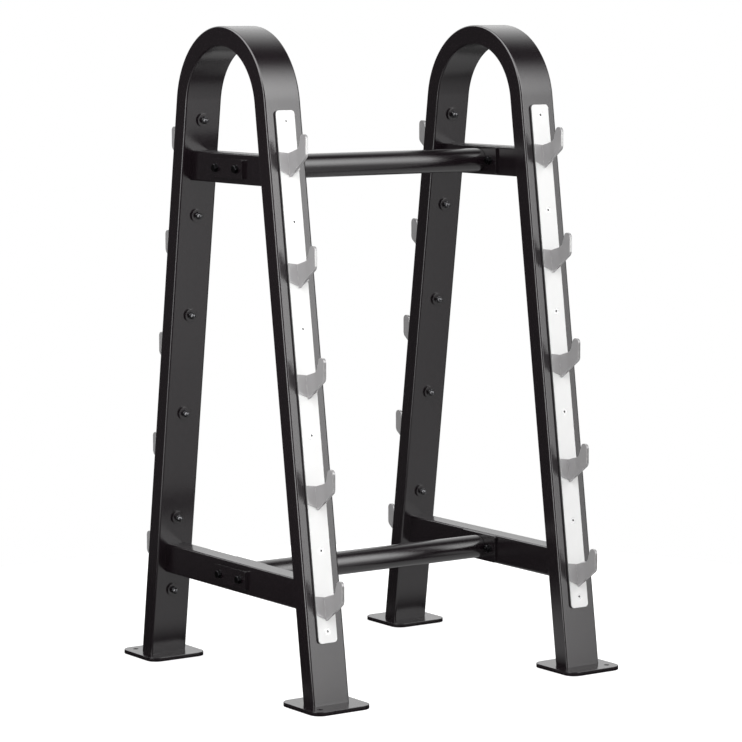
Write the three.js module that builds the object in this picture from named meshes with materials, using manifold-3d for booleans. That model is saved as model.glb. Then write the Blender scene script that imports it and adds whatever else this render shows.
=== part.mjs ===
// Barbell storage rack: two arched tube frames joined by two round tie tubes.
// Millimetres, +X along the tie tubes, +Y to the rear, +Z up, origin on the floor under the middle.

import * as THREE from "three";
import Module from "manifold-3d";
import { mergeVertices } from "three/addons/utils/BufferGeometryUtils.js";

const wasm = await Module();
wasm.setup();

// Gap left between pieces that touch.
const GAP = 0.3;

// The two arched frames.
const FRAME_SPACING = 743;
const TUBE_WIDTH = 100;
const TUBE_DEPTH = 47;
const TUBE_WALL = 3;
const TUBE_CORNER = 5;
const ARCH_RADIUS = 200;
const RACK_HEIGHT = 1573;
const LEG_LEAN = THREE.MathUtils.degToRad(8);
const ARCH_STEPS = 30;
const LEG_OVERRUN = 20;

// Foot plates, each with one anchor hole at the rack's outermost corner.
const PLATE_SIZE = 160;
const PLATE_THICKNESS = 10;
const PLATE_CORNER = 28;
const ANCHOR_HOLE = 13;
const ANCHOR_INSET = 28.5;
const ANCHOR_SIDES = 20;

// Cross-members between the legs of a frame.
const CROSS_WIDTH = 51;
const CROSS_HEIGHT = 73;
const CROSS_WALL = 3;
const CROSS_CORNER = 6;
const UPPER_Z = 1238;
const LOWER_Z = 256;

// Tie tubes between the frames, with their end flanges, backing plates and bolts.
const TIE_DIAMETER = 58;
const TIE_WALL = 3;
const TIE_SIDES = 48;
const FLANGE_LENGTH = 140;
const FLANGE_HEIGHT = 68;
const FLANGE_THICKNESS = 6;
const BACKING_LENGTH = 142;
const BACKING_HEIGHT = 46;
const BACKING_THICKNESS = 8;
const TIE_PLATE_CORNER = 4;
const BOLT_SPACING = 90;
const BOLT_DIAMETER = 10;
const BOLT_HOLE = 11.4;
const BOLT_FLATS = 17;
const HEAD_HEIGHT = 6.4;
const NUT_HEIGHT = 8.4;
const BOLT_END = 3;
const BOLT_SIDES = 16;

// Strips on the outer faces of the legs: a black backing under a white face.
const STRIP_WIDTH = 51;
const STRIP_FROM = 140.5;
const STRIP_TO = 1379.5;
const STRIP_CORNER = 8.5;
const STRIP_BACKING_THICKNESS = 4;
const STRIP_FACE_THICKNESS = 2;

// Cradles: a chevron flange on the strip's face with an upright hook plate on its middle.
const CRADLES_PER_LEG = 5;
const FIRST_CRADLE = 247.5;
const CRADLE_PITCH = 258;
const HOOK_THICKNESS = 7;
const FLANGE_HALF = 26.5;
const FLANGE_RISE = 4;
const FLANGE_SIDE = 40;
const FLANGE_POINT = 53;
const CRADLE_FLANGE_THICKNESS = 2.5;
const HOOK_REACH = 77;
const HOOK_TOP = 46.5;
const HOOK_ROOT = 55;
const HOOK_ARC_STEPS = 5;
const SEAT_END = { out: 39, up: 10.5 };
const CROOK = { out: 46, up: 12.5 };
const HORN_FOOT = { out: 48, up: 20 };
const HORN_INSIDE = { out: 54, up: 38 };
const HORN_BEND = { out: 57, up: HOOK_TOP };
const HORN_CREST = { out: 65, up: HOOK_TOP };
const HORN_CORNER = { out: 76, up: HOOK_TOP };
const HORN_SHOULDER = { out: HOOK_REACH, up: 34 };
const HEEL_START = { out: HOOK_REACH, up: -4 };
const HEEL_CORNER = { out: 76, up: -8 };
const HEEL_END = { out: 69.5, up: -11.5 };

// Sizes worked out from the ones above.
const ARCH_MIDDLE = ARCH_RADIUS - TUBE_DEPTH / 2;
const ARCH_Z = RACK_HEIGHT - ARCH_RADIUS;
const LEAN_SIN = Math.sin(LEG_LEAN);
const LEAN_COS = Math.cos(LEG_LEAN);
const LEAN_TAN = Math.tan(LEG_LEAN);
const SPRING_Y = ARCH_MIDDLE * LEAN_COS;
const SPRING_Z = ARCH_Z + ARCH_MIDDLE * LEAN_SIN;
const FOOT_Y = SPRING_Y + (SPRING_Z - PLATE_THICKNESS) * LEAN_TAN;

function finish(color, roughness, metalness) {
  return new THREE.MeshStandardMaterial({ color, roughness, metalness });
}

const blackCoat = () => finish(0x141416, 0.32, 0);
const greyCoat = () => finish(0x8f9194, 0.38, 0.4);
const whiteFace = () => finish(0xf4f4f2, 0.45, 0);
const darkSteel = () => finish(0x2a2a2c, 0.35, 0.9);

// A closed shape geometry as a solid that can be cut and joined.
function solid(geometry) {
  const bare = geometry.index ? geometry.toNonIndexed() : geometry.clone();
  bare.deleteAttribute("normal");
  bare.deleteAttribute("uv");
  const merged = mergeVertices(bare, 1e-4);
  const mesh = new wasm.Mesh({
    numProp: 3,
    vertProperties: new Float32Array(merged.attributes.position.array),
    triVerts: new Uint32Array(merged.index.array),
  });
  return new wasm.Manifold(mesh);
}

function geometryOf(body) {
  const mesh = body.getMesh();
  const geometry = new THREE.BufferGeometry();
  geometry.setAttribute("position", new THREE.BufferAttribute(mesh.vertProperties, 3));
  geometry.setIndex(new THREE.BufferAttribute(mesh.triVerts, 1));
  return geometry;
}

// A rounded rectangle about the origin, each corner drawn with the given number of straight steps.
function roundedRectangle(width, height, radius, steps, Kind = THREE.Shape) {
  const points = [];
  const corners = [[1, 1, 0], [-1, 1, 1], [-1, -1, 2], [1, -1, 3]];
  for (const [sideX, sideY, quarter] of corners) {
    const middleX = sideX * (width / 2 - radius);
    const middleY = sideY * (height / 2 - radius);
    for (let i = 0; i <= steps; i += 1) {
      const angle = (quarter + i / steps) * Math.PI / 2;
      points.push(new THREE.Vector2(middleX + radius * Math.cos(angle), middleY + radius * Math.sin(angle)));
    }
  }
  return new Kind(points);
}

function circle(radius, sides, x = 0, y = 0, Kind = THREE.Path) {
  const points = [];
  for (let i = 0; i < sides; i += 1) {
    const angle = (i / sides) * Math.PI * 2;
    points.push(new THREE.Vector2(x + radius * Math.cos(angle), y + radius * Math.sin(angle)));
  }
  return new Kind(points);
}

function extrude(shape, depth) {
  return new THREE.ExtrudeGeometry(shape, { depth, bevelEnabled: false, curveSegments: 1 });
}

// Turns a geometry so that its x, y and z run along the three given directions.
function turned(geometry, x, y, z) {
  return geometry.applyMatrix4(new THREE.Matrix4().makeBasis(x, y, z));
}

const X = new THREE.Vector3(1, 0, 0);
const Y = new THREE.Vector3(0, 1, 0);
const Z = new THREE.Vector3(0, 0, 1);
const MINUS_X = new THREE.Vector3(-1, 0, 0);
const MINUS_Y = new THREE.Vector3(0, -1, 0);

// The middle line of a frame: up the front leg, over the arch and down the rear leg.
class FramePath extends THREE.Curve {
  getUtoTmapping(u) {
    return u;
  }

  getPoint(t, target = new THREE.Vector3()) {
    const step = t * (ARCH_STEPS + 2);
    const below = PLATE_THICKNESS + LEG_OVERRUN;
    const legEnd = new THREE.Vector3(0, -FOOT_Y - below * LEAN_TAN, -LEG_OVERRUN);
    const spring = new THREE.Vector3(0, -SPRING_Y, SPRING_Z);
    if (step <= 1) {
      return target.lerpVectors(legEnd, spring, step);
    }
    if (step >= ARCH_STEPS + 1) {
      legEnd.y *= -1;
      spring.y *= -1;
      return target.lerpVectors(spring, legEnd, step - ARCH_STEPS - 1);
    }
    const turn = Math.PI - 2 * LEG_LEAN;
    const angle = Math.PI - LEG_LEAN - turn * (step - 1) / ARCH_STEPS;
    return target.set(0, ARCH_MIDDLE * Math.cos(angle), ARCH_Z + ARCH_MIDDLE * Math.sin(angle));
  }
}

// One bent tube, with both feet cut level just above their plates.
function archedFrame() {
  const section = roundedRectangle(TUBE_WIDTH, TUBE_DEPTH, TUBE_CORNER, 3);
  const hollow = roundedRectangle(
    TUBE_WIDTH - 2 * TUBE_WALL, TUBE_DEPTH - 2 * TUBE_WALL, TUBE_CORNER - TUBE_WALL, 2, THREE.Path);
  section.holes.push(hollow);
  const tube = new THREE.ExtrudeGeometry(section, {
    steps: ARCH_STEPS + 2,
    extrudePath: new FramePath(),
    bevelEnabled: false,
    curveSegments: 1,
  });
  const below = new THREE.BoxGeometry(2 * TUBE_WIDTH, 3 * FOOT_Y, 2 * PLATE_SIZE);
  below.translate(0, 0, PLATE_THICKNESS + GAP - PLATE_SIZE);
  return geometryOf(solid(tube).subtract(solid(below)));
}

function footPlate() {
  const outline = roundedRectangle(PLATE_SIZE, PLATE_SIZE, PLATE_CORNER, 6);
  const hole = PLATE_SIZE / 2 - ANCHOR_INSET;
  outline.holes.push(circle(ANCHOR_HOLE / 2, ANCHOR_SIDES, hole, hole));
  return extrude(outline, PLATE_THICKNESS);
}

// The distance of a leg's inner face from the middle of the rack at a given height.
function legInside(z) {
  return FOOT_Y - (z - PLATE_THICKNESS) * LEAN_TAN - TUBE_DEPTH / 2 / LEAN_COS;
}

function boltRod(from, to, radius, sides, y) {
  const rod = new THREE.CylinderGeometry(radius, radius, to - from, sides);
  rod.rotateZ(Math.PI / 2);
  rod.translate((from + to) / 2, y, 0);
  return solid(rod);
}

// A rectangular tube whose ends lie along the leaning legs, drilled for the tie bolts.
function crossMember(height) {
  const section = roundedRectangle(CROSS_WIDTH, CROSS_HEIGHT, CROSS_CORNER, 3);
  section.holes.push(roundedRectangle(
    CROSS_WIDTH - 2 * CROSS_WALL, CROSS_HEIGHT - 2 * CROSS_WALL, CROSS_CORNER - CROSS_WALL, 2, THREE.Path));
  const reach = legInside(height - CROSS_HEIGHT) + CROSS_HEIGHT;
  const tube = turned(extrude(section, 2 * reach), X, Z, MINUS_Y);
  tube.translate(0, reach, 0);
  const half = CROSS_HEIGHT;
  const low = legInside(height - half) - GAP;
  const high = legInside(height + half) - GAP;
  const room = new THREE.Shape([
    new THREE.Vector2(-low, -half),
    new THREE.Vector2(low, -half),
    new THREE.Vector2(high, half),
    new THREE.Vector2(-high, half),
  ]);
  const between = turned(extrude(room, 2 * CROSS_WIDTH), Y, Z, X);
  between.translate(-CROSS_WIDTH, 0, 0);
  let member = solid(tube).intersect(solid(between));
  for (const side of [-1, 1]) {
    const hole = boltRod(-CROSS_WIDTH, CROSS_WIDTH, BOLT_HOLE / 2, BOLT_SIDES, side * BOLT_SPACING / 2);
    member = member.subtract(hole);
  }
  return geometryOf(member);
}

// A plate of a tie joint, with its two bolt holes, lying from x = 0 to x = thickness.
function tiePlate(length, height, thickness) {
  const outline = roundedRectangle(length, height, TIE_PLATE_CORNER, 3);
  for (const side of [-1, 1]) {
    outline.holes.push(circle(BOLT_HOLE / 2, BOLT_SIDES, side * BOLT_SPACING / 2, 0));
  }
  return turned(extrude(outline, thickness), Y, Z, X);
}

function tieTube() {
  const length = FRAME_SPACING - CROSS_WIDTH - 2 * (FLANGE_THICKNESS + 2 * GAP);
  const section = circle(TIE_DIAMETER / 2, TIE_SIDES, 0, 0, THREE.Shape);
  section.holes.push(circle(TIE_DIAMETER / 2 - TIE_WALL, TIE_SIDES));
  const tube = turned(extrude(section, length), Y, Z, X);
  tube.translate(-length / 2, 0, 0);
  return tube;
}

// A hex bolt with its nut run down: the head is on the outer side, and x = 0 is under the head.
function tieBolt() {
  const grip = BACKING_THICKNESS + CROSS_WIDTH + FLANGE_THICKNESS + 4 * GAP;
  const hexagon = BOLT_FLATS / Math.sqrt(3);
  const shank = boltRod(-HEAD_HEIGHT / 2, grip + NUT_HEIGHT + BOLT_END, BOLT_DIAMETER / 2, BOLT_SIDES, 0);
  const head = boltRod(-HEAD_HEIGHT, 0, hexagon, 6, 0);
  const nut = boltRod(grip, grip + NUT_HEIGHT, hexagon, 6, 0);
  return geometryOf(shank.add(head).add(nut));
}

// A length of strip on a leg's outer face, from z = 0 to its thickness, with rounded corners.
function strip(thickness) {
  return extrude(roundedRectangle(STRIP_WIDTH, STRIP_TO - STRIP_FROM, STRIP_CORNER, 5), thickness);
}

// The hook plate's side view: out is away from the strip and up is above the seat's low end.
function hookOutline() {
  const root = CRADLE_FLANGE_THICKNESS / 2;
  const shape = new THREE.Shape();
  shape.moveTo(root, 0);
  shape.lineTo(SEAT_END.out, SEAT_END.up);
  shape.quadraticCurveTo(CROOK.out, CROOK.up, HORN_FOOT.out, HORN_FOOT.up);
  shape.lineTo(HORN_INSIDE.out, HORN_INSIDE.up);
  shape.quadraticCurveTo(HORN_BEND.out, HORN_BEND.up, HORN_CREST.out, HORN_CREST.up);
  shape.quadraticCurveTo(HORN_CORNER.out, HORN_CORNER.up, HORN_SHOULDER.out, HORN_SHOULDER.up);
  shape.lineTo(HEEL_START.out, HEEL_START.up);
  shape.quadraticCurveTo(HEEL_CORNER.out, HEEL_CORNER.up, HEEL_END.out, HEEL_END.up);
  shape.lineTo(root + HOOK_ROOT * LEAN_TAN, -HOOK_ROOT);
  return shape;
}

// One cradle: its origin is on the strip's face at the seat's low end, with the hook towards -Y.
function cradle() {
  const hook = new THREE.ExtrudeGeometry(hookOutline(), {
    depth: HOOK_THICKNESS,
    bevelEnabled: false,
    curveSegments: HOOK_ARC_STEPS,
  });
  hook.translate(0, 0, -HOOK_THICKNESS / 2);
  turned(hook, MINUS_Y, Z, MINUS_X);
  const chevron = new THREE.Shape([
    new THREE.Vector2(0, 0),
    new THREE.Vector2(-FLANGE_HALF, FLANGE_RISE),
    new THREE.Vector2(-FLANGE_HALF, -FLANGE_SIDE),
    new THREE.Vector2(0, -FLANGE_POINT),
    new THREE.Vector2(FLANGE_HALF, -FLANGE_SIDE),
    new THREE.Vector2(FLANGE_HALF, FLANGE_RISE),
  ]);
  const flange = extrude(chevron, CRADLE_FLANGE_THICKNESS);
  turned(flange, X, new THREE.Vector3(0, LEAN_SIN, LEAN_COS), new THREE.Vector3(0, -LEAN_COS, LEAN_SIN));
  return geometryOf(solid(hook).add(solid(flange)));
}

function piece(name, geometry, material, parent, x = 0, y = 0, z = 0) {
  const mesh = new THREE.Mesh(geometry, material);
  mesh.name = name;
  mesh.position.set(x, y, z);
  parent.add(mesh);
  return mesh;
}

// The strips and cradles of one leg, in a group whose y runs up the leg and z out of its outer face.
function dressLeg(name, leg) {
  const face = new THREE.Group();
  face.position.set(0, -FOOT_Y, PLATE_THICKNESS);
  face.rotation.x = Math.PI / 2 - LEG_LEAN;
  leg.add(face);
  const middle = (STRIP_FROM + STRIP_TO) / 2;
  const backing = TUBE_DEPTH / 2 + GAP;
  const white = backing + STRIP_BACKING_THICKNESS + GAP;
  const outside = white + STRIP_FACE_THICKNESS + GAP;
  piece(`${name}_strip_backing`, strip(STRIP_BACKING_THICKNESS), blackCoat(), face, 0, middle, backing);
  piece(`${name}_strip_face`, strip(STRIP_FACE_THICKNESS), whiteFace(), face, 0, middle, white);
  for (let i = 0; i < CRADLES_PER_LEG; i += 1) {
    const up = FIRST_CRADLE + i * CRADLE_PITCH;
    const one = piece(`${name}_cradle_${i + 1}`, cradle(), greyCoat(), face, 0, up, outside);
    one.rotation.x = LEG_LEAN - Math.PI / 2;
  }
}

// One arched frame with its plates, cross-members, strips and cradles.
function sideFrame(name, x) {
  const frame = new THREE.Group();
  frame.position.x = x;
  piece(`${name}_arch_frame`, archedFrame(), blackCoat(), frame);
  piece(`${name}_upper_cross_member`, crossMember(UPPER_Z), blackCoat(), frame, 0, 0, UPPER_Z);
  piece(`${name}_lower_cross_member`, crossMember(LOWER_Z), blackCoat(), frame, 0, 0, LOWER_Z);
  for (const [end, sideY] of [["front", -1], ["rear", 1]]) {
    const plate = piece(`${name}_${end}_foot_plate`, footPlate(), blackCoat(), frame, 0, sideY * FOOT_Y);
    plate.rotation.z = Math.atan2(sideY, Math.sign(x)) - Math.PI / 4;
    const leg = new THREE.Group();
    leg.rotation.z = sideY > 0 ? Math.PI : 0;
    frame.add(leg);
    dressLeg(`${name}_${end}`, leg);
  }
  return frame;
}

// The joint of a tie tube with one frame: flange inside, backing plate outside, two bolts through both.
function tieJoint(name, side, z) {
  const joint = new THREE.Group();
  joint.position.set(side * FRAME_SPACING / 2, 0, z);
  joint.rotation.z = side > 0 ? Math.PI : 0;
  const inner = CROSS_WIDTH / 2 + GAP;
  const outer = -inner - BACKING_THICKNESS;
  const flange = tiePlate(FLANGE_LENGTH, FLANGE_HEIGHT, FLANGE_THICKNESS);
  const backing = tiePlate(BACKING_LENGTH, BACKING_HEIGHT, BACKING_THICKNESS);
  piece(`${name}_tie_flange`, flange, blackCoat(), joint, inner);
  piece(`${name}_tie_backing_plate`, backing, blackCoat(), joint, outer);
  for (const [end, sideY] of [["front", -1], ["rear", 1]]) {
    const y = sideY * side * -BOLT_SPACING / 2;
    piece(`${name}_tie_bolt_${end}`, tieBolt(), darkSteel(), joint, outer - GAP, y);
  }
  return joint;
}

const rack = new THREE.Group();
rack.add(sideFrame("left", -FRAME_SPACING / 2));
rack.add(sideFrame("right", FRAME_SPACING / 2));
for (const [level, z] of [["upper", UPPER_Z], ["lower", LOWER_Z]]) {
  piece(`${level}_tie_tube`, tieTube(), blackCoat(), rack, 0, 0, z);
  rack.add(tieJoint(`left_${level}`, -1, z));
  rack.add(tieJoint(`right_${level}`, 1, z));
}

export default rack;
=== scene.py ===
import math

import bmesh
import bpy
from mathutils import Matrix, Vector


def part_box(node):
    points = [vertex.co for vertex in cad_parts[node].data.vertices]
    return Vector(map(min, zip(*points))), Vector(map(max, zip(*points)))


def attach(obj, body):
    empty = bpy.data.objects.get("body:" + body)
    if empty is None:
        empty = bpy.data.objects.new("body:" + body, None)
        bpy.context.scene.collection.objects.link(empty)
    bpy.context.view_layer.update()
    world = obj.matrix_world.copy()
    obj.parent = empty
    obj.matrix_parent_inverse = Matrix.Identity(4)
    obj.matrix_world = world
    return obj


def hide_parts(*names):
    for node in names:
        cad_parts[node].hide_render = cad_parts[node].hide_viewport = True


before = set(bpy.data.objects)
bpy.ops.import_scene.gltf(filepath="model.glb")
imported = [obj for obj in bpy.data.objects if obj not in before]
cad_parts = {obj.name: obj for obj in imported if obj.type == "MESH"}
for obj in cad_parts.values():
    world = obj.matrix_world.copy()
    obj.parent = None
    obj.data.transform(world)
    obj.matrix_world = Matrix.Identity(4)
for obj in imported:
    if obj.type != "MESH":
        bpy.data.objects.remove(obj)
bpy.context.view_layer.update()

# The studio is a white floor in white surroundings, lit by large soft lamps that the gloss doesn't show.
# The gloss shows bright panels instead: to the front right, the rear right, the far left and overhead on
# the left. The floor in it is dark behind and beside the left frame, and has a painted contact shadow
# close round the feet.
WHITE = (1, 1, 1, 1)
SURROUND_FILL = 0.28
SURROUND_DARK = 0.062
FLOOR_RADIUS = 1.7
FLOOR_SIDES = 96
FLOOR_DROP = 0.0005
FLOOR_WHITE = (0.52, 0.52, 0.52, 1)
FLOOR_GLOW = 0.72
FLOOR_LIT = 0.48
FLOOR_UNLIT = SURROUND_DARK / 2

# A panel is a product of smooth steps along the mirrored direction. Each step has its axis, where it
# begins and ends, and its brightness before and after. The floor's steps run over its own x and y.
FRONT_PANEL = (("Y", -0.80, -0.25, 5.0, 0), ("X", 0.45, 0.75, 1, 0.1), ("X", -0.15, 0.40, 0, 1))
REAR_PANEL = (
    ("Y", -0.08, 0.62, 0, 1.3), ("X", -0.30, 0.05, 0, 1), ("X", 0.72, 0.90, 1, 2.6),
    ("Z", 0.02, 0.20, 0.45, 1))
BOTH_FADE_BELOW = (("Z", -0.30, 0.42, 0.12, 1),)
LEFT_PANEL = (("X", -0.92, -0.80, 3.6, 0), ("Y", 0.05, 0.30, 1, 0), ("Z", -0.35, -0.05, 0.3, 1))
OVERHEAD_PANEL = (("Z", 0.40, 0.62, 0, 3.4), ("X", -0.25, 0.10, 1, 0))
FLOOR_IN_FRONT = (("Y", 0.25, 0.45, 1, 0),)
FLOOR_TO_RIGHT = (("X", 0.10, 0.50, 0, 1),)
FLOOR_FROM_LEFT_FRAME = (("X", -0.60, -0.34, 0, 1),)
FLOOR_FAR_LEFT = (("X", -0.95, -0.80, 1, 0), ("Y", 0.00, 0.16, 1, 0))
# The painted contact shadow round the feet: the floor's glow in the gloss is gone nearer than the first
# distance and full past the second.
FLOOR_PAINTED_SHADOW_REACH = (0.085, 0.20)


def add_node(tree, kind, **settings):
    """A new shader node with the given settings."""
    made = tree.nodes.new(kind)
    for name, value in settings.items():
        setattr(made, name, value)
    return made


def feed(tree, source, target, inlet):
    """Joins a (node, output) pair to an inlet, or sets the inlet to a number or a colour."""
    if isinstance(source, tuple) and isinstance(source[0], bpy.types.Node):
        tree.links.new(source[0].outputs[source[1]], target.inputs[inlet])
    else:
        target.inputs[inlet].default_value = source


def ramp(tree, source, low, high, at_low=0, at_high=1):
    """A smooth step from at_low to at_high as the source goes from low to high."""
    made = add_node(tree, "ShaderNodeMapRange", interpolation_type="SMOOTHSTEP")
    feed(tree, source, made, "Value")
    for inlet, value in (("From Min", low), ("From Max", high), ("To Min", at_low), ("To Max", at_high)):
        feed(tree, value, made, inlet)
    return made, "Result"


def maths(tree, operation, *terms):
    """A Math node's result on numbers or (node, output) pairs."""
    made = add_node(tree, "ShaderNodeMath", operation=operation)
    for inlet, term in enumerate(terms):
        feed(tree, term, made, inlet)
    return made, "Value"


def blend(tree, kind, factor, low, high):
    """A mix of two numbers (kind FLOAT) or two colours (kind RGBA) by a factor."""
    made = add_node(tree, "ShaderNodeMix", data_type=kind)
    for inlet, value in (("Factor", factor), ("A", low), ("B", high)):
        feed(tree, value, made, inlet)
    return made, "Result"


def seen_directly(tree, ray):
    """Whether a ray comes straight from the camera or through glass."""
    return maths(tree, "MAXIMUM", (ray, "Is Camera Ray"), (ray, "Is Transmission Ray"))


def panel(tree, parts, steps):
    """The product of a panel's steps along the parts of a direction or a place."""
    whole = None
    for axis, begin, end, before, after in steps:
        step = ramp(tree, (parts, axis), begin, end, before, after)
        whole = maths(tree, "MULTIPLY", whole, step) if whole else step
    return whole


surround = bpy.data.worlds.new("surround")
bpy.context.scene.world = surround
surround.use_nodes = True
air = surround.node_tree
air.nodes.clear()
towards = add_node(air, "ShaderNodeTexCoord")
direction = add_node(air, "ShaderNodeSeparateXYZ")
feed(air, (towards, "Generated"), direction, "Vector")
gloss = maths(air, "ADD", panel(air, direction, FRONT_PANEL), panel(air, direction, REAR_PANEL))
gloss = maths(air, "MULTIPLY", gloss, panel(air, direction, BOTH_FADE_BELOW))
gloss = maths(air, "ADD", gloss, panel(air, direction, LEFT_PANEL))
gloss = maths(air, "ADD", gloss, panel(air, direction, OVERHEAD_PANEL))
gloss = maths(air, "ADD", gloss, SURROUND_DARK)
ray = add_node(air, "ShaderNodeLightPath")
indirect = blend(air, "FLOAT", (ray, "Is Glossy Ray"), SURROUND_FILL, gloss)
background = add_node(air, "ShaderNodeBackground")
feed(air, WHITE, background, "Color")
feed(air, blend(air, "FLOAT", seen_directly(air, ray), indirect, 1), background, "Strength")
feed(air, (background, "Background"), add_node(air, "ShaderNodeOutputWorld"), "Surface")

bpy.ops.object.select_all(action="DESELECT")
bpy.ops.mesh.primitive_circle_add(
    vertices=FLOOR_SIDES, radius=FLOOR_RADIUS, fill_type="NGON", location=(0, 0, -FLOOR_DROP))
floor = bpy.context.object
floor.name = "studio_floor"
floor_paint = bpy.data.materials.new("studio_floor")
floor_paint.use_nodes = True
paint = floor_paint.node_tree
paint.nodes.clear()
ray = add_node(paint, "ShaderNodeLightPath")
matt = add_node(paint, "ShaderNodeBsdfDiffuse")
feed(paint, FLOOR_WHITE, matt, "Color")
glow = add_node(paint, "ShaderNodeEmission")
feed(paint, WHITE, glow, "Color")
feed(paint, maths(paint, "MULTIPLY", seen_directly(paint, ray), FLOOR_GLOW), glow, "Strength")
lit = add_node(paint, "ShaderNodeAddShader")
feed(paint, (matt, "BSDF"), lit, 0)
feed(paint, (glow, "Emission"), lit, 1)
place = add_node(paint, "ShaderNodeTexCoord")
spot = add_node(paint, "ShaderNodeSeparateXYZ")
feed(paint, (place, "Object"), spot, "Vector")
bright = maths(
    paint, "MAXIMUM", panel(paint, spot, FLOOR_IN_FRONT), panel(paint, spot, FLOOR_TO_RIGHT))
bright = maths(paint, "MULTIPLY", bright, panel(paint, spot, FLOOR_FROM_LEFT_FRAME))
bright = maths(paint, "ADD", bright, panel(paint, spot, FLOOR_FAR_LEFT))
# A painted contact shadow: the floor's glow in the gloss fades out close round every foot plate.
foot_place = sum(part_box("right_rear_foot_plate"), Vector()) / 2
apart = []
for axis, middle in (("X", foot_place.x), ("Y", foot_place.y)):
    offset = maths(paint, "SUBTRACT", maths(paint, "ABSOLUTE", (spot, axis)), middle)
    apart.append(maths(paint, "ABSOLUTE", offset))
clear_of_painted_shadow = ramp(paint, maths(paint, "MAXIMUM", *apart), *FLOOR_PAINTED_SHADOW_REACH)
bright = maths(paint, "MULTIPLY", bright, clear_of_painted_shadow)
mirrored = add_node(paint, "ShaderNodeEmission")
feed(paint, blend(paint, "FLOAT", bright, FLOOR_UNLIT, FLOOR_LIT), mirrored, "Strength")
whole = add_node(paint, "ShaderNodeMixShader")
feed(paint, (ray, "Is Glossy Ray"), whole, 0)
feed(paint, (lit, "Shader"), whole, 1)
feed(paint, (mirrored, "Emission"), whole, 2)
feed(paint, (whole, "Shader"), add_node(paint, "ShaderNodeOutputMaterial"), "Surface")
floor.data.materials.append(floor_paint)

# Each lamp has its place, its width and height, and its watts. All face the middle of the rack.
LOOK_AT = Vector((0, 0, 0.85))
LAMPS = {
    "front_lamp": ((0.15, -3.50, 1.55), 2.0, 2.1, 23),
    "upper_right_lamp": ((2.35, -2.15, 3.25), 2.4, 2.6, 62),
    "left_lamp": ((-1.65, -0.85, 1.15), 0.9, 2.0, 16),
    "fill_lamp": ((-1.45, -2.65, 3.20), 2.0, 2.0, 56),
    "rear_lamp": ((1.00, 3.50, 2.00), 2.4, 2.4, 84),
    "rear_left_lamp": ((-2.60, 2.40, 2.40), 2.0, 2.0, 30),
    "right_lamp": ((3.30, 0.35, 1.40), 1.2, 2.0, 34),
}
for name, (place, width, height, power) in LAMPS.items():
    lamp = bpy.data.lights.new(name, "AREA")
    lamp.shape = "RECTANGLE"
    lamp.size = width
    lamp.size_y = height
    lamp.energy = power
    stand = bpy.data.objects.new(name, lamp)
    bpy.context.scene.collection.objects.link(stand)
    stand.location = place
    stand.rotation_euler = (LOOK_AT - Vector(place)).to_track_quat("-Z", "Y").to_euler()
    stand.visible_camera = stand.visible_glossy = False

# The camera stands where the photograph was taken from, to the front left at eye height, with a
# long lens. The shift keeps the uprights upright while the rack sits in the middle of the picture.
CAMERA_PLACE = (-4.2802, -6.2600, 1.6110)
CAMERA_YAW = -0.6205
CAMERA_PITCH = -0.1267
CAMERA_LENS = 150.2
SENSOR_WIDTH = 36
CAMERA_SHIFT = (-0.0814, 0.0446)
lens = bpy.data.cameras.new("photo_camera")
lens.lens = CAMERA_LENS
lens.sensor_width = SENSOR_WIDTH
lens.shift_x, lens.shift_y = CAMERA_SHIFT
camera = bpy.data.objects.new("photo_camera", lens)
bpy.context.scene.collection.objects.link(camera)
camera.location = CAMERA_PLACE
camera.rotation_euler = (math.pi / 2 + CAMERA_PITCH, 0, CAMERA_YAW)
bpy.context.scene.camera = camera
bpy.context.scene.view_settings.view_transform = "Standard"

# The two arched frames carry everything. Each is one rectangular steel tube bent over an arch and cut
# level at both feet. They are powder-coated semi-gloss black, with a fine orange peel in the coat.
ARCH_RADIUS = 0.200
TUBE_DEPTH = 0.047
TUBE_CORNER = 0.005
LEG_LEAN = math.radians(8)
ARCH_TURNS = 72
CORNER_TURNS = 5
SMOOTH_UNDER = math.radians(35)
SAME_PLACE = 1e-5
MERGE_WITHIN = 1e-6
BLACK = (0.0058, 0.0032, 0.0048, 1)
BLACK_THIN = (0.020, 0.019, 0.020, 1)
BLACK_FLECK = (0.0120, 0.0090, 0.0105, 1)
BLACK_ROUGHNESS = 0.19
BLACK_IOR = 1.8
frame_low, frame_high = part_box("left_arch_frame")
plate_low, plate_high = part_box("left_front_foot_plate")
TUBE_WIDTH = frame_high.x - frame_low.x
PLATE_TOP = plate_high.z
LEFT_X = (frame_low.x + frame_high.x) / 2
FRAMES = {"left": LEFT_X, "right": -LEFT_X}
ENDS = {"front": -1, "rear": 1}
arch_middle = ARCH_RADIUS - TUBE_DEPTH / 2
arch_z = frame_high.z - ARCH_RADIUS
spring = Vector((0, -arch_middle * math.cos(LEG_LEAN), arch_z + arch_middle * math.sin(LEG_LEAN)))
foot_y = -spring.y + (spring.z - PLATE_TOP) * math.tan(LEG_LEAN)


def new_group(name, inlets, outlets):
    """A shader node group and its two ends. An inlet without a default is a vector."""
    tree = bpy.data.node_groups.new(name, "ShaderNodeTree")
    for label, default in inlets.items():
        kind = "NodeSocketVector" if default is None else "NodeSocketFloat"
        socket = tree.interface.new_socket(name=label, in_out="INPUT", socket_type=kind)
        if default is not None:
            socket.default_value = default
    for label in outlets:
        tree.interface.new_socket(name=label, in_out="OUTPUT", socket_type="NodeSocketFloat")
    return tree, tree.nodes.new("NodeGroupInput"), tree.nodes.new("NodeGroupOutput")


def noise(tree, place, cells, detail=2, roughness=0.5):
    """A noise texture's value, with so many cells to the metre."""
    made = add_node(tree, "ShaderNodeTexNoise")
    for inlet, value in (("Vector", place), ("Scale", cells), ("Detail", detail), ("Roughness", roughness)):
        feed(tree, value, made, inlet)
    return made, "Fac"


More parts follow.
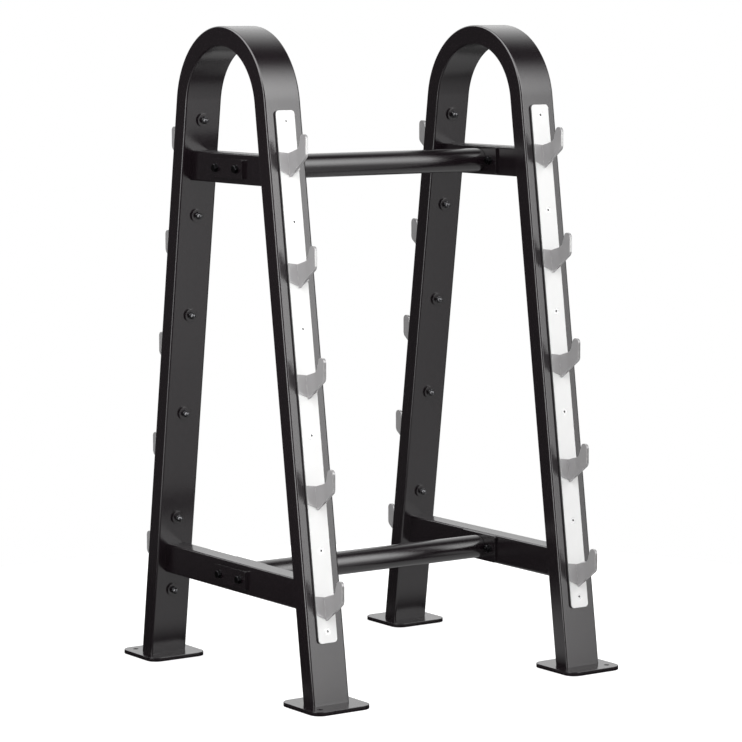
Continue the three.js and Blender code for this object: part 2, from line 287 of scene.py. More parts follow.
# Orange peel: the shallow dimples of a sprayed coat, the fine flecks that its grains leave, and slow
# changes of gloss over a hand's width.
PEEL_CELLS = 560
PEEL_DETAIL = 2.5
PEEL_DEPTH = 0.00012
GRAIN_CELLS = 420
GRAIN_DETAIL = 3
GRAIN_ROUGHNESS = 0.7
GRAINS_SHOW = (0.42, 0.66)
CLOUD_CELLS = 7
CLOUD_DETAIL = 4
CLOUD_MEAN = 0.5
GLOSS_SHARE = 0.3
peel_group, given, result = new_group(
    "orange_peel", {"Vector": None, "Cells": PEEL_CELLS, "Gloss Spread": BLACK_ROUGHNESS * GLOSS_SHARE},
    ("Height", "Fleck", "Gloss Change"))
dimples = noise(peel_group, (given, "Vector"), (given, "Cells"), PEEL_DETAIL)
feed(peel_group, dimples, result, "Height")
grains = noise(peel_group, (given, "Vector"), GRAIN_CELLS, GRAIN_DETAIL, GRAIN_ROUGHNESS)
feed(peel_group, ramp(peel_group, grains, *GRAINS_SHOW), result, "Fleck")
clouds = noise(peel_group, (given, "Vector"), CLOUD_CELLS, CLOUD_DETAIL)
centred = maths(peel_group, "SUBTRACT", clouds, CLOUD_MEAN)
feed(peel_group, maths(peel_group, "MULTIPLY", centred, (given, "Gloss Spread")), result, "Gloss Change")

# Edge mask: where a coat or a face is thinned and rubbed along its sharp edges, broken up by grain.
EDGE_REACH = 0.0015
EDGE_SAMPLES = 4
EDGE_SHARP = (0.995, 0.90)
EDGE_GRAIN = 90
EDGE_DETAIL = 6
EDGE_PATCHES = (0.42, 0.62)
edge_group, given, result = new_group(
    "rubbed_edge", {"Vector": None, "Reach": EDGE_REACH, "Grain": EDGE_GRAIN}, ("Mask",))
rounded = add_node(edge_group, "ShaderNodeBevel", samples=EDGE_SAMPLES)
feed(edge_group, (given, "Reach"), rounded, "Radius")
surface = add_node(edge_group, "ShaderNodeNewGeometry")
agree = add_node(edge_group, "ShaderNodeVectorMath", operation="DOT_PRODUCT")
feed(edge_group, (rounded, "Normal"), agree, 0)
feed(edge_group, (surface, "Normal"), agree, 1)
sharp = ramp(edge_group, (agree, "Value"), *EDGE_SHARP)
speckle = noise(edge_group, (given, "Vector"), (given, "Grain"), EDGE_DETAIL)
patches = ramp(edge_group, speckle, *EDGE_PATCHES)
feed(edge_group, maths(edge_group, "MULTIPLY", sharp, patches), result, "Mask")


def use_group(tree, group, place, **values):
    """A group placed in a material, on Object coordinates, with its own values."""
    made = add_node(tree, "ShaderNodeGroup", node_tree=group)
    feed(tree, (place, "Object"), made, "Vector")
    for name, value in values.items():
        feed(tree, value, made, name.replace("_", " "))
    return made


def make_coat(
        name, colour, thin, roughness, slot=None, fleck=None, metallic=0.0, ior=1.5, cells=PEEL_CELLS,
        depth=PEEL_DEPTH):
    """A coat over an orange peel, flecked with one more colour and thinned to another at rubbed edges.

    The colour may be a function that paints it. Gives the material and the slot it goes in.
    """
    material = bpy.data.materials.new(name)
    material.use_nodes = True
    tree = material.node_tree
    shader = tree.nodes["Principled BSDF"]
    feed(tree, metallic, shader, "Metallic")
    feed(tree, ior, shader, "IOR")
    place = add_node(tree, "ShaderNodeTexCoord")
    edge = use_group(tree, edge_group, place)
    peel = use_group(tree, peel_group, place, Cells=cells, Gloss_Spread=roughness * GLOSS_SHARE)
    body = colour(tree, place) if callable(colour) else colour
    if fleck:
        body = blend(tree, "RGBA", (peel, "Fleck"), body, fleck)
    feed(tree, blend(tree, "RGBA", (edge, "Mask"), body, thin), shader, "Base Color")
    feed(tree, maths(tree, "ADD", (peel, "Gloss Change"), roughness), shader, "Roughness")
    bump = add_node(tree, "ShaderNodeBump")
    feed(tree, depth, bump, "Distance")
    feed(tree, (peel, "Height"), bump, "Height")
    feed(tree, (bump, "Normal"), shader, "Normal")
    return material, slot or name


black_coat = make_coat(
    "black_powder_coat", BLACK, BLACK_THIN, BLACK_ROUGHNESS, fleck=BLACK_FLECK, ior=BLACK_IOR)


def choose(kind, test):
    """In edit mode, selects only the vertices, edges or faces that pass the test."""
    bpy.ops.mesh.select_mode(type=kind)
    bpy.ops.mesh.select_all(action="DESELECT")
    mesh = bmesh.from_edit_mesh(bpy.context.object.data)
    for item in {"VERT": mesh.verts, "EDGE": mesh.edges, "FACE": mesh.faces}[kind]:
        if test(item):
            item.select_set(True)
    mesh.select_flush_mode()
    bmesh.update_edit_mesh(bpy.context.object.data)


def start(primitive, scale=(1, 1, 1), **settings):
    """Adds a primitive of the real size with nothing else selected, and opens it for editing."""
    if bpy.context.mode != "OBJECT":
        bpy.ops.object.mode_set(mode="OBJECT")
    bpy.ops.object.select_all(action="DESELECT")
    primitive(**settings)
    bpy.context.object.scale = scale
    bpy.ops.object.transform_apply(location=False, rotation=False, scale=True)
    bpy.ops.object.mode_set(mode="EDIT")
    return bpy.context.object


def rounded_plate(width, depth, radius, turns, thickness):
    """A plate lying on z = 0 with rounded corners, left in edit mode."""
    piece = start(bpy.ops.mesh.primitive_plane_add, (width, depth, 1), size=1)
    bpy.ops.mesh.select_all(action="SELECT")
    bpy.ops.mesh.bevel(offset=radius, segments=turns, affect="VERTICES")
    if thickness:
        bpy.ops.mesh.extrude_region_move(TRANSFORM_OT_translate={"value": (0, 0, thickness)})
    bpy.ops.mesh.select_all(action="SELECT")
    bpy.ops.mesh.normals_make_consistent(inside=False)
    return piece


def set_in_place(source, name, matrix, coat, *nodes):
    """A copy of a finished piece with its own mesh, moved to its place, coated and bound to the rack."""
    material, slot = coat
    piece = source.copy()
    piece.data = source.data.copy()
    piece.name = piece.data.name = name
    bpy.context.scene.collection.objects.link(piece)
    piece.data.transform(source.matrix_world)
    piece.data.transform(matrix)
    piece.matrix_world = Matrix.Identity(4)
    piece.data.materials.clear()
    piece.data.materials.append(material)
    bpy.ops.object.select_all(action="DESELECT")
    piece.select_set(True)
    bpy.context.view_layer.objects.active = piece
    bpy.ops.object.shade_smooth_by_angle(angle=SMOOTH_UNDER)
    weighted = piece.modifiers.new("even_normals", "WEIGHTED_NORMAL")
    weighted.keep_sharp = True
    bpy.ops.object.modifier_apply(modifier=weighted.name)
    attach(piece, "root")
    if nodes:
        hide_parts(*nodes)


def discard(*pieces):
    """Removes the pieces that the copies were taken from."""
    for piece in pieces:
        bpy.data.objects.remove(piece)


arch = rounded_plate(TUBE_WIDTH, TUBE_DEPTH, TUBE_CORNER, CORNER_TURNS, 0)
bpy.ops.mesh.delete(type="ONLY_FACE")
bpy.ops.object.mode_set(mode="OBJECT")
arch.data.transform(Matrix.Translation(spring) @ Matrix.Rotation(-LEG_LEAN, 4, "X"))
bpy.ops.object.mode_set(mode="EDIT")
bpy.ops.mesh.select_all(action="SELECT")
bpy.ops.mesh.spin(
    steps=ARCH_TURNS, angle=math.pi - 2 * LEG_LEAN, center=(0, 0, arch_z), axis=(1, 0, 0))
leg_length = (spring.z - PLATE_TOP) / math.cos(LEG_LEAN) + TUBE_DEPTH
for side in (1, -1):
    down = Vector((0, side * math.sin(LEG_LEAN), -math.cos(LEG_LEAN)))
    end = Vector((0, -side * spring.y, spring.z))
    choose("VERT", lambda v: v.co.y * side > 0 and abs((v.co - end).dot(down)) < SAME_PLACE)
    bpy.ops.mesh.extrude_region_move(TRANSFORM_OT_translate={"value": down * leg_length})
    bpy.ops.mesh.edge_face_add()
bpy.ops.mesh.select_all(action="SELECT")
bpy.ops.mesh.remove_doubles(threshold=MERGE_WITHIN)
bpy.ops.mesh.bisect(
    plane_co=(0, 0, PLATE_TOP), plane_no=(0, 0, 1), clear_inner=True, use_fill=True)
bpy.ops.mesh.select_all(action="SELECT")
bpy.ops.mesh.normals_make_consistent(inside=False)
bpy.ops.object.mode_set(mode="OBJECT")
for side, x in FRAMES.items():
    set_in_place(
        arch, f"{side}_arch_tube", Matrix.Translation((x, 0, 0)), black_coat, f"{side}_arch_frame")
discard(arch)

# The cross-members tie the two legs of a frame together above and below. Each is a length of
# rectangular tube, its ends cut to the lean of the legs and welded to their inner faces.
CROSS_CORNER = 0.006


def leg_inside(z):
    """How far a leg's inner face stands from the middle of the rack at a height."""
    return foot_y - (z - PLATE_TOP) * math.tan(LEG_LEAN) - TUBE_DEPTH / 2 / math.cos(LEG_LEAN)


for level in ("upper", "lower"):
    low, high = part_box(f"left_{level}_cross_member")
    size = high - low
    middle = (low.z + high.z) / 2
    reach = 2 * leg_inside(low.z) + size.z
    cross = rounded_plate(size.x, size.z, CROSS_CORNER, CORNER_TURNS, reach)
    bpy.ops.object.mode_set(mode="OBJECT")
    cross.data.transform(Matrix.Translation((0, reach / 2, middle)) @ Matrix.Rotation(math.pi / 2, 4, "X"))
    bpy.ops.object.mode_set(mode="EDIT")
    for side in (1, -1):
        bpy.ops.mesh.select_all(action="SELECT")
        bpy.ops.mesh.bisect(
            plane_co=(0, side * leg_inside(middle), middle),
            plane_no=(0, side * math.cos(LEG_LEAN), math.sin(LEG_LEAN)),
            clear_outer=True, use_fill=True)
    bpy.ops.mesh.select_all(action="SELECT")
    bpy.ops.mesh.normals_make_consistent(inside=False)
    bpy.ops.object.mode_set(mode="OBJECT")
    for side, x in FRAMES.items():
        set_in_place(
            cross, f"{side}_{level}_cross_tube", Matrix.Translation((x, 0, 0)), black_coat,
            f"{side}_{level}_cross_member")
    discard(cross)

# Each leg stands on a thick square steel plate with well-rounded corners, welded under its foot. One
# hole for a floor anchor goes through the corner that points away from the rack.
PLATE_CORNER = 0.028
PLATE_CORNER_TURNS = 10
PLATE_EDGE = 0.0009
ANCHOR_INSET = 0.0285
ANCHOR_HOLE = 0.013
HOLE_SIDES = 40
SOFTEN_OVER = math.radians(40)
LEGS = [(f"{side}_{end}", x, sign) for side, x in FRAMES.items() for end, sign in ENDS.items()]


def cut(piece, tool, operation="DIFFERENCE"):
    """Applies a boolean of the tool to the piece and removes the tool."""
    bpy.ops.object.mode_set(mode="OBJECT")
    bpy.context.view_layer.objects.active = piece
    boolean = piece.modifiers.new("cut", "BOOLEAN")
    boolean.operation = operation
    boolean.solver = "EXACT"
    boolean.object = tool
    bpy.ops.object.modifier_apply(modifier=boolean.name)
    bpy.data.objects.remove(tool)


def soften_edges(piece, width, turns=2):
    """Rounds the sharp edges with an applied bevel."""
    bpy.ops.object.mode_set(mode="OBJECT")
    bpy.context.view_layer.objects.active = piece
    bevel = piece.modifiers.new("soft_edges", "BEVEL")
    bevel.width = width
    bevel.segments = turns
    bevel.limit_method = "ANGLE"
    bevel.angle_limit = SOFTEN_OVER
    bpy.ops.object.modifier_apply(modifier=bevel.name)


plate_size = plate_high.x - plate_low.x
plate = rounded_plate(plate_size, plate_size, PLATE_CORNER, PLATE_CORNER_TURNS, PLATE_TOP)
hole_at = plate_size / 2 - ANCHOR_INSET
drill = start(
    bpy.ops.mesh.primitive_cylinder_add, vertices=HOLE_SIDES, radius=ANCHOR_HOLE / 2, depth=4 * PLATE_TOP,
    location=(hole_at, hole_at, 0))
cut(plate, drill)
soften_edges(plate, PLATE_EDGE)
for name, x, sign in LEGS:
    quarter = math.atan2(sign, math.copysign(1, x)) - math.pi / 4
    under_foot = Matrix.Translation((x, sign * foot_y, 0)) @ Matrix.Rotation(quarter, 4, "Z")
    set_in_place(plate, f"{name}_foot", under_foot, black_coat, f"{name}_foot_plate")
discard(plate)

# Two round steel tubes tie the frames together at the height of the cross-members. They wear the same
# black coat as the frames and are welded to a flange at each end.
TIE_SIDES = 96
TIE_RIM = 0.0015
for level in ("upper", "lower"):
    low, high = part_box(f"{level}_tie_tube")
    tie = start(
        bpy.ops.mesh.primitive_cylinder_add, vertices=TIE_SIDES, radius=(high.z - low.z) / 2,
        depth=high.x - low.x, rotation=(0, math.pi / 2, 0), location=(0, 0, (low.z + high.z) / 2))
    soften_edges(tie, TIE_RIM)
    set_in_place(tie, f"{level}_tie", Matrix.Identity(4), black_coat, f"{level}_tie_tube")
    discard(tie)

# The flange of each tie's end lies on the cross-member's inner face, and a backing plate lies on its
# outer face. Both are cut from steel plate and coated black.
TIE_PLATE_CORNER = 0.004
TIE_PLATE_TURNS = 4
TIE_PLATE_EDGE = 0.0007
flange_low, flange_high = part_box("left_upper_tie_flange")
outer_low, outer_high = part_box("left_upper_tie_backing_plate")
JOINT_HEIGHTS = {
    "upper": (flange_low.z + flange_high.z) / 2,
    "lower": sum(corner.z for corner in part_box("left_lower_tie_flange")) / 2,
}


def tie_plate(low, high):
    """A plate of a tie joint, upright across x, about the tie's own middle line."""
    size = high - low
    piece = rounded_plate(size.y, size.z, TIE_PLATE_CORNER, TIE_PLATE_TURNS, size.x)
    soften_edges(piece, TIE_PLATE_EDGE)
    piece.data.transform(Matrix(((0, 0, 1, low.x - LEFT_X), (1, 0, 0, 0), (0, 1, 0, 0), (0, 0, 0, 1))))
    return piece


def facing_in(x):
    """A half turn for what stands on the right frame, so that its inner side faces the left one."""
    return Matrix.Rotation(math.pi if x > 0 else 0, 4, "Z")


flange = tie_plate(flange_low, flange_high)
backing = tie_plate(outer_low, outer_high)
for level, z in JOINT_HEIGHTS.items():
    for side, x in FRAMES.items():
        name = f"{side}_{level}"
        joint = Matrix.Translation((x, 0, z)) @ facing_in(x)
        set_in_place(flange, f"{name}_flange", joint, black_coat, f"{name}_tie_flange")
        set_in_place(backing, f"{name}_backing", joint, black_coat, f"{name}_tie_backing_plate")
discard(flange, backing)

# Two hex bolts clamp each flange, cross-member and backing plate together, with a plain washer under
# each head and each nut. They are steel with a black oxide finish.
BOLT_SPACING = 0.090
BOLT_FLATS = 0.017
BOLT_DIAMETER = 0.010
BOLT_PAST_NUT = 0.003
BOLT_SIDES = 32
BOLT_EDGE = 0.0008
HEX_CHAMFER = 0.0016
HEAD_HEIGHT = 0.0064
NUT_HEIGHT = 0.0084
WASHER_DIAMETER = 0.021
WASHER_THICKNESS = 0.002
WASHER_EDGE = 0.0004
TURNED_SIDES = 48
CLEAR_OF_CORNERS = 1.01
BLACK_OXIDE = (0.022, 0.021, 0.023, 1)
RUBBED_OXIDE = (0.09, 0.09, 0.095, 1)
OXIDE_ROUGHNESS = 0.30
FINE_CELLS = 1400
FINE_DEPTH = 0.00002
oxide_steel = make_coat(
    "black_oxide_steel", BLACK_OXIDE, RUBBED_OXIDE, OXIDE_ROUGHNESS, slot="fastener_steel", metallic=1.0,
    cells=FINE_CELLS, depth=FINE_DEPTH)


def hexagon_block(flats, height, chamfer):
    """A hex head or nut standing on z = 0, its top corners turned off to a cone."""
    corners = flats / math.sqrt(3)
    block = start(
        bpy.ops.mesh.primitive_cylinder_add, vertices=6, radius=corners, depth=height,
        location=(0, 0, height / 2))
    turned = start(
        bpy.ops.mesh.primitive_cylinder_add, vertices=TURNED_SIDES, radius=corners * CLEAR_OF_CORNERS,
        depth=height * 2)
    choose("EDGE", lambda e: all(abs(v.co.z - height) < SAME_PLACE for v in e.verts))
    bpy.ops.mesh.bevel(offset=chamfer, segments=1)
    cut(block, turned, "INTERSECT")
    return block


def round_block(radius, low, high, sides=TURNED_SIDES, edge=WASHER_EDGE):
    """A round bar or washer along z with softened rims."""
    piece = start(
        bpy.ops.mesh.primitive_cylinder_add, vertices=sides, radius=radius, depth=high - low,
        location=(0, 0, (low + high) / 2))
    soften_edges(piece, edge)
    return piece


def placed(piece, matrix):
    """The piece out of edit mode, with its own place and then the matrix taken into its mesh."""
    bpy.ops.object.mode_set(mode="OBJECT")
    piece.data.transform(piece.matrix_world)
    piece.matrix_world = Matrix.Identity(4)
    piece.data.transform(matrix)
    return piece


def weld_together(*pieces):
    """Joins solids that overlap into one piece."""
    whole = pieces[0]
    for other in pieces[1:]:
        cut(whole, other, "UNION")
    return whole


head_seat = outer_low.x - LEFT_X - WASHER_THICKNESS
nut_seat = flange_high.x - LEFT_X + WASHER_THICKNESS
along_x = Matrix.Rotation(math.pi / 2, 4, "Y")
under_head = Matrix.Translation((head_seat, 0, 0)) @ along_x
under_nut = Matrix.Translation((nut_seat - WASHER_THICKNESS, 0, 0)) @ along_x
bolt_head = placed(
    hexagon_block(BOLT_FLATS, HEAD_HEIGHT, HEX_CHAMFER),
    Matrix.Translation((head_seat, 0, 0)) @ Matrix.Rotation(-math.pi / 2, 4, "Y"))
bolt_nut = placed(
    hexagon_block(BOLT_FLATS, NUT_HEIGHT, HEX_CHAMFER), Matrix.Translation((nut_seat, 0, 0)) @ along_x)
bolt_end = nut_seat - head_seat + NUT_HEIGHT + BOLT_PAST_NUT
bolt_shank = placed(
    round_block(BOLT_DIAMETER / 2, -HEAD_HEIGHT / 2, bolt_end, BOLT_SIDES, BOLT_EDGE), under_head)
tie_bolt = weld_together(bolt_shank, bolt_head, bolt_nut)
washer = round_block(WASHER_DIAMETER / 2, 0, WASHER_THICKNESS)
for level, z in JOINT_HEIGHTS.items():
    for side, x in FRAMES.items():
        for end, sign in ENDS.items():
            name = f"{side}_{level}_{end}"
            there = Matrix.Translation((x, sign * BOLT_SPACING / 2, z)) @ facing_in(x)
            set_in_place(tie_bolt, f"{name}_bolt", there, oxide_steel, f"{side}_{level}_tie_bolt_{end}")
            set_in_place(washer, f"{name}_head_washer", there @ under_head, oxide_steel)
            set_in_place(washer, f"{name}_nut_washer", there @ under_nut, oxide_steel)
discard(tie_bolt, washer)

# A long strip runs up the outer face of every leg: a black plastic backing under a white wear face. The
# screws that hold it go through countersunk holes in both.
STRIP_WIDTH = 0.051
STRIP_FROM = 0.1405
STRIP_TO = 1.3795
STRIP_CORNER = 0.0085
STRIP_CORNER_TURNS = 8
STRIP_EDGE = 0.0004
STRIP_GAP = 0.0003
BACKING_THICKNESS = 0.004
FACE_THICKNESS = 0.002
SCREWS_UP_LEG = (0.167, 0.355, 0.623, 0.871, 1.120, 1.354)
SCREW_HEAD = 0.0160
SCREW_SINK = 0.0044
STRIP_WHITE = (0.805, 0.805, 0.80, 1)
STRIP_RUBBED = (0.62, 0.62, 0.61, 1)
STRIP_ROUGHNESS = 0.42
PLASTIC_BLACK = (0.075, 0.073, 0.075, 1)
PLASTIC_RUBBED = (0.14, 0.14, 0.14, 1)
PLASTIC_ROUGHNESS = 0.38
PLASTIC_CELLS = 900
PLASTIC_DEPTH = 0.00003
white_face = make_coat(
    "white_wear_face", STRIP_WHITE, STRIP_RUBBED, STRIP_ROUGHNESS, slot="white_strip_face",
    cells=PLASTIC_CELLS, depth=PLASTIC_DEPTH)
black_plastic = make_coat(
    "black_strip_backing", PLASTIC_BLACK, PLASTIC_RUBBED, PLASTIC_ROUGHNESS, slot="black_powder_coat",
    cells=PLASTIC_CELLS, depth=PLASTIC_DEPTH)


def leg_matrix(x, sign):
    """From a leg's own frame, x across, y up the leg and z out of its outer face, to the rack's."""
    turn = Matrix.Rotation(math.pi if sign > 0 else 0, 4, "Z")
    lean = Matrix.Rotation(math.pi / 2 - LEG_LEAN, 4, "X")
    return Matrix.Translation((x, 0, 0)) @ turn @ Matrix.Translation((0, -foot_y, PLATE_TOP)) @ lean


def long_strip(thickness, z):
    """One layer of the strip, in the leg's own frame."""
    piece = rounded_plate(STRIP_WIDTH, STRIP_TO - STRIP_FROM, STRIP_CORNER, STRIP_CORNER_TURNS, thickness)
    soften_edges(piece, STRIP_EDGE)
    return placed(piece, Matrix.Translation((0, (STRIP_FROM + STRIP_TO) / 2, z)))


leg_outer = TUBE_DEPTH / 2
backing_z = leg_outer + STRIP_GAP
face_z = backing_z + BACKING_THICKNESS + STRIP_GAP
face_top = face_z + FACE_THICKNESS
strip_backing = long_strip(BACKING_THICKNESS, backing_z)
strip_face = long_strip(FACE_THICKNESS, face_z)
for up in SCREWS_UP_LEG:
    for layer in (strip_face, strip_backing):
        sink = start(
            bpy.ops.mesh.primitive_cone_add, vertices=HOLE_SIDES, radius1=SCREW_HEAD / 2 - SCREW_SINK,
            radius2=SCREW_HEAD / 2 + SCREW_SINK, depth=2 * SCREW_SINK, location=(0, up, face_top))
        cut(layer, sink)
legs = {name: leg_matrix(x, sign) for name, x, sign in LEGS}
for name, leg in legs.items():
    set_in_place(strip_backing, f"{name}_backing_strip", leg, black_plastic, f"{name}_strip_backing")
    set_in_place(strip_face, f"{name}_white_strip", leg, white_face, f"{name}_strip_face")
discard(strip_backing, strip_face)

# Six countersunk socket screws of bright steel hold each strip. They lie just below its face and go
# through the leg's tube to the nuts on its inner face.
SCREW_BELOW_FACE = 0.0002
SCREW_HEAD_EDGE = 0.0003
SCREW_RADIUS = 0.004
SCREW_SIDES = 24
SCREW_EDGE = 0.0005
SCREW_INTO_HEAD = 0.0005
SCREW_PAST_LEG = 0.010
SOCKET_FLATS = 0.006
SOCKET_DEPTH = 0.007
SCREW_STEEL = (0.60, 0.60, 0.60, 1)
SCREW_RUBBED = (0.72, 0.72, 0.72, 1)
SCREW_ROUGHNESS = 0.28
bright_steel = make_coat(
    "bright_screw_steel", SCREW_STEEL, SCREW_RUBBED, SCREW_ROUGHNESS, slot="fastener_steel", metallic=1.0,
    cells=FINE_CELLS, depth=FINE_DEPTH)
screw_head = start(
    bpy.ops.mesh.primitive_cone_add, vertices=TURNED_SIDES, radius1=SCREW_HEAD / 2 - SCREW_SINK,
    radius2=SCREW_HEAD / 2, depth=SCREW_SINK, location=(0, 0, -SCREW_SINK / 2))
soften_edges(screw_head, SCREW_HEAD_EDGE, 1)
socket = start(
    bpy.ops.mesh.primitive_cylinder_add, vertices=6, radius=SOCKET_FLATS / math.sqrt(3),
    depth=2 * SOCKET_DEPTH)
cut(screw_head, socket)
placed(screw_head, Matrix.Translation((0, 0, face_top - SCREW_BELOW_FACE)))
screw_shank = round_block(
    SCREW_RADIUS, -leg_outer - SCREW_PAST_LEG, face_top - SCREW_SINK + SCREW_INTO_HEAD, SCREW_SIDES,
    SCREW_EDGE)
strip_screw = weld_together(screw_head, placed(screw_shank, Matrix.Identity(4)))
for name, leg in legs.items():
    for count, up in enumerate(SCREWS_UP_LEG, 1):
        set_in_place(strip_screw, f"{name}_screw_{count}", leg @ Matrix.Translation((0, up, 0)), bright_steel)
discard(strip_screw)

# On the leg's inner face each screw carries a thick black-coated washer and a cap nut, a hexagon with a
# long dome turned from one piece of dark zinc-plated steel.
NUT_WASHER_DIAMETER = 0.033
NUT_WASHER_THICKNESS = 0.0055
NUT_WASHER_SIDES = 64
NUT_WASHER_EDGE = 0.0008
CAP_FLATS = 0.0160
CAP_HEX_HEIGHT = 0.0055
CAP_CHAMFER = 0.0014
CAP_DOME_RADIUS = 0.0076
CAP_DOME_LENGTH = 0.0150
CAP_DOME_SIDES = 40
CAP_DEPTH = 0.000004
DARK_ZINC = (0.13, 0.13, 0.135, 1)
BARE_ZINC = (0.22, 0.22, 0.225, 1)
ZINC_ROUGHNESS = 0.34
dark_steel = make_coat(
    "dark_zinc_steel", DARK_ZINC, BARE_ZINC, ZINC_ROUGHNESS, slot="fastener_steel", metallic=1.0,
    cells=FINE_CELLS, depth=CAP_DEPTH)
washer_face = -leg_outer - NUT_WASHER_THICKNESS
thick_washer = round_block(
    NUT_WASHER_DIAMETER / 2, washer_face, -leg_outer, NUT_WASHER_SIDES, NUT_WASHER_EDGE)
cap_hex = hexagon_block(CAP_FLATS, CAP_HEX_HEIGHT, CAP_CHAMFER)
dome = start(
    bpy.ops.mesh.primitive_uv_sphere_add, segments=CAP_DOME_SIDES, ring_count=CAP_DOME_SIDES // 2,
    radius=CAP_DOME_RADIUS)
bpy.ops.mesh.select_all(action="SELECT")
bpy.ops.mesh.bisect(plane_co=(0, 0, 0), plane_no=(0, 0, 1), clear_inner=True, use_fill=True)
choose("FACE", lambda f: all(abs(v.co.z) < SAME_PLACE for v in f.verts))
bpy.ops.mesh.extrude_region_move(
    TRANSFORM_OT_translate={"value": (0, 0, CAP_DOME_RADIUS + CAP_HEX_HEIGHT / 2 - CAP_DOME_LENGTH)})
placed(dome, Matrix.Translation((0, 0, CAP_DOME_LENGTH - CAP_DOME_RADIUS)))
cap_nut = weld_together(placed(cap_hex, Matrix.Identity(4)), dome)
placed(cap_nut, Matrix.Translation((0, 0, washer_face)) @ Matrix.Rotation(math.pi, 4, "X"))
for name, leg in legs.items():
    for count, up in enumerate(SCREWS_UP_LEG, 1):
        there = leg @ Matrix.Translation((0, up, 0))
        set_in_place(thick_washer, f"{name}_washer_{count}", there, black_coat)
        set_in_place(cap_nut, f"{name}_cap_nut_{count}", there, dark_steel)
discard(thick_washer, cap_nut)

# Five cradles stand on each leg. Each is an upright hook plate welded to the middle of a chevron
# flange that lies on the strip, cut from steel plate and coated mid-grey.
CRADLES = 5
FIRST_CRADLE = 0.2475
CRADLE_PITCH = 0.258
HOOK_THICKNESS = 0.007
HOOK_EDGE = 0.0006
HOOK_CORNER_TURNS = 8
# Each corner has its place on the plate and its rounding. The hook's x is out from the strip.
HOOK_CORNERS = {
    "valley": (0.0010, 0.0, 0),
    "crook": (0.0454, 0.0122, 0.009),
    "horn_inside": (0.0568, 0.0465, 0.007),
    "horn_outside": (0.0770, 0.0465, 0.011),
    "heel": (0.0770, -0.0060, 0.007),
    "root": (0.0085, -0.0550, 0),
}
CHEVRON_THICKNESS = 0.0025
CHEVRON_CORNERS = {
    "notch": (0, 0, 0),
    "left_top": (-0.0265, 0.004, 0),
    "left_bottom": (-0.0265, -0.040, 0),
    "point": (0, -0.053, 0),
    "right_bottom": (0.0265, -0.040, 0),
    "right_top": (0.0265, 0.004, 0),
}
GREY = (0.380, 0.373, 0.377, 1)
GREY_THIN = (0.70, 0.70, 0.70, 1)
# Painted highlight and painted shade for the hooks' upright edges.
GREY_PAINTED_HIGHLIGHT = (0.66, 0.66, 0.655, 1)
GREY_PAINTED_SHADE = (0.215, 0.212, 0.214, 1)
GREY_ROUGHNESS = 0.10
GREY_METALLIC = 0.15
GREY_IOR = 1.7

# Upright mask: the cut edges of the hooks that stand straight up. They carry a painted highlight on the
# upper two cradles and painted shade, darker than the grey itself, on the ones below, in noisy patches.
UPRIGHT_FACING = (0.9925, 0.998)
PAINTED_EDGE_CELLS = 110
PAINTED_EDGE_PATCHES = (0.25, 0.60, 0.55, 1)
# The heights over which the painted shade on the upright edges turns into the painted highlight.
PAINTED_HIGHLIGHT_HEIGHTS = (0.86, 0.93)
painted_edge_group, given, result = new_group("painted_edge_highlight_and_shade", {"Normal": None, "Vector": None}, ("Mask", "Highlight Share"))
facing = add_node(painted_edge_group, "ShaderNodeSeparateXYZ")
feed(painted_edge_group, (given, "Normal"), facing, "Vector")
squarely = maths(painted_edge_group, "ABSOLUTE", (facing, "Y"))
upright = ramp(painted_edge_group, squarely, *UPRIGHT_FACING)
painted_patches = ramp(painted_edge_group, noise(painted_edge_group, (given, "Vector"), PAINTED_EDGE_CELLS), *PAINTED_EDGE_PATCHES)
feed(painted_edge_group, maths(painted_edge_group, "MULTIPLY", upright, painted_patches), result, "Mask")
stance = add_node(painted_edge_group, "ShaderNodeSeparateXYZ")
feed(painted_edge_group, (given, "Vector"), stance, "Vector")
feed(painted_edge_group, ramp(painted_edge_group, (stance, "Z"), *PAINTED_HIGHLIGHT_HEIGHTS), result, "Highlight Share")


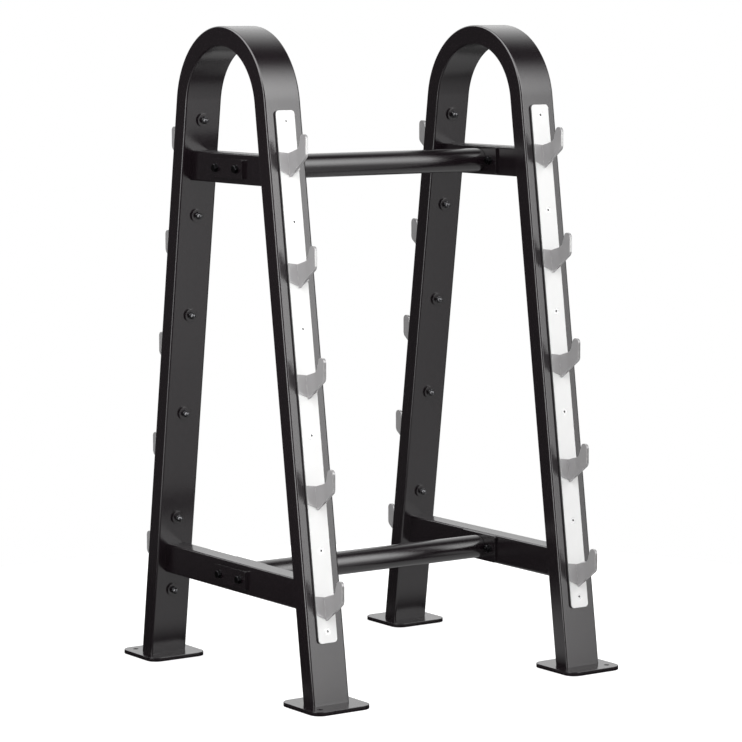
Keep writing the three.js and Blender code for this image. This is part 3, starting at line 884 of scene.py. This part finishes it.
def hook_grey_and_painted_edges(tree, place):
    """The cradles' grey, with a painted highlight on the hooks' upright edges up high and painted shade
    below.
    """
    wear = use_group(tree, painted_edge_group, place)
    feed(tree, (place, "Normal"), wear, "Normal")
    # Painted highlight on the upper cradles' upright edges, painted shade on the lower ones.
    painted_edge_grey = blend(tree, "RGBA", (wear, "Highlight Share"), GREY_PAINTED_SHADE, GREY_PAINTED_HIGHLIGHT)
    return blend(tree, "RGBA", (wear, "Mask"), GREY, painted_edge_grey)


grey_coat = make_coat(
    "grey_powder_coat", hook_grey_and_painted_edges, GREY_THIN, GREY_ROUGHNESS, metallic=GREY_METALLIC, ior=GREY_IOR)


def outline_plate(corners, thickness, matrix):
    """A plate cut to the given corners, each with its own rounding, and turned into its place."""
    piece = start(bpy.ops.mesh.primitive_circle_add, vertices=len(corners), fill_type="NGON", radius=1)
    mesh = bmesh.from_edit_mesh(piece.data)
    for vert, (x, y, _) in zip(sorted(mesh.verts, key=lambda v: v.index), corners.values()):
        vert.co = (x, y, 0)
    bmesh.update_edit_mesh(piece.data)
    for x, y, rounding in corners.values():
        if rounding:
            at = Vector((x, y, 0))
            choose("VERT", lambda v: (v.co - at).length < SAME_PLACE)
            bpy.ops.mesh.bevel(offset=rounding, segments=HOOK_CORNER_TURNS, affect="VERTICES")
    bpy.ops.mesh.select_all(action="SELECT")
    bpy.ops.mesh.extrude_region_move(TRANSFORM_OT_translate={"value": (0, 0, thickness)})
    bpy.ops.mesh.select_all(action="SELECT")
    bpy.ops.mesh.normals_make_consistent(inside=False)
    placed(piece, matrix)
    soften_edges(piece, HOOK_EDGE)
    return piece


stand_out = Matrix(((0, 0, -1, HOOK_THICKNESS / 2), (-1, 0, 0, 0), (0, 1, 0, 0), (0, 0, 0, 1)))
hook = outline_plate(HOOK_CORNERS, HOOK_THICKNESS, stand_out)
lie_on_strip = Matrix.Rotation(math.pi / 2 - LEG_LEAN, 4, "X")
chevron = outline_plate(CHEVRON_CORNERS, CHEVRON_THICKNESS, lie_on_strip)
cradle = weld_together(hook, chevron)
seat_z = face_top + STRIP_GAP
stand_up = Matrix.Rotation(LEG_LEAN - math.pi / 2, 4, "X")
for name, leg in legs.items():
    for i in range(CRADLES):
        there = leg @ Matrix.Translation((0, FIRST_CRADLE + i * CRADLE_PITCH, seat_z)) @ stand_up
        set_in_place(cradle, f"{name}_hook_{i + 1}", there, grey_coat, f"{name}_cradle_{i + 1}")
discard(cradle)
